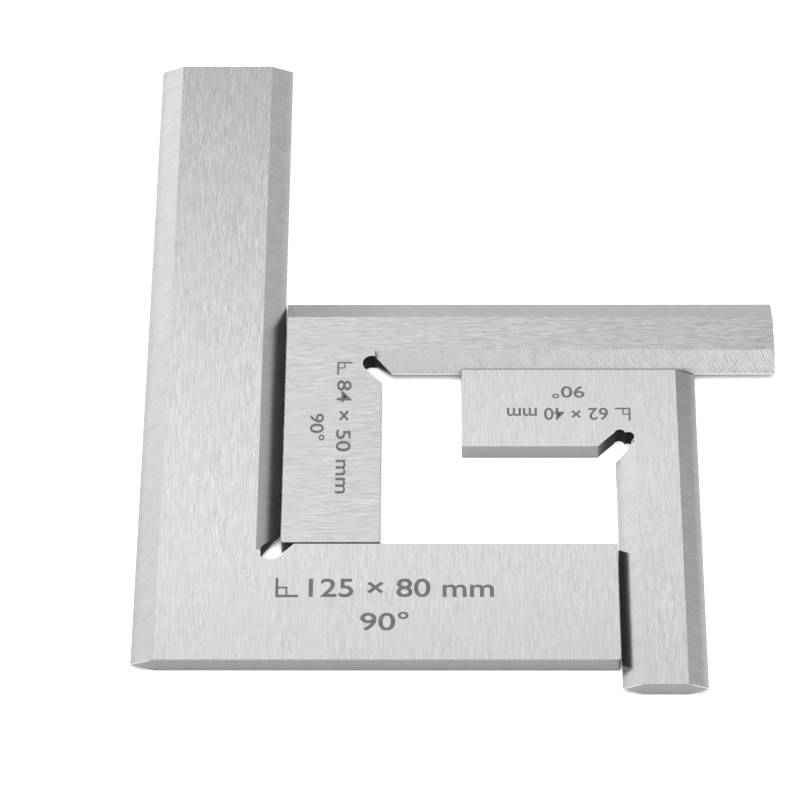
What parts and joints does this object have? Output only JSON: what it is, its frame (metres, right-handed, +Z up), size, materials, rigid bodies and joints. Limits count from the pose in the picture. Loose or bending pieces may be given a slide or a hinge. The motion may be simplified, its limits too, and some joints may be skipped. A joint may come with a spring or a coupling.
{
  "type": "knife-edge square set",
  "caption": "Nested set of flat L-shaped steel squares with bevelled knife-edge blades and relieved inner corners, for checking right angles and straightness.",
  "frame": {"origin": "middle of the footprint of the nested set, on the surface it lies on", "axes": "+Y along the largest square's long leg towards its free end, +X along its short leg, +Z up through the thickness"},
  "size_m": [0.108, 0.1296, 0.0036],
  "materials": {
    "ground_steel": "satin ground faces with fine straight grain, brighter cross-ground bevels"
  },
  "bodies": {
    "large": {"large_square": "ground_steel"},
    "middle": {"middle_square": "ground_steel"},
    "small": {"small_square": "ground_steel"}
  },
  "joints": [
    {"name": "middle_lift", "type": "slide", "parent": "large", "child": "middle", "axis": [0, 0, 1], "range_m": [0, 0.03]},
    {"name": "small_lift", "type": "slide", "parent": "large", "child": "small", "axis": [0, 0, 1], "range_m": [0, 0.03]}
  ]
}
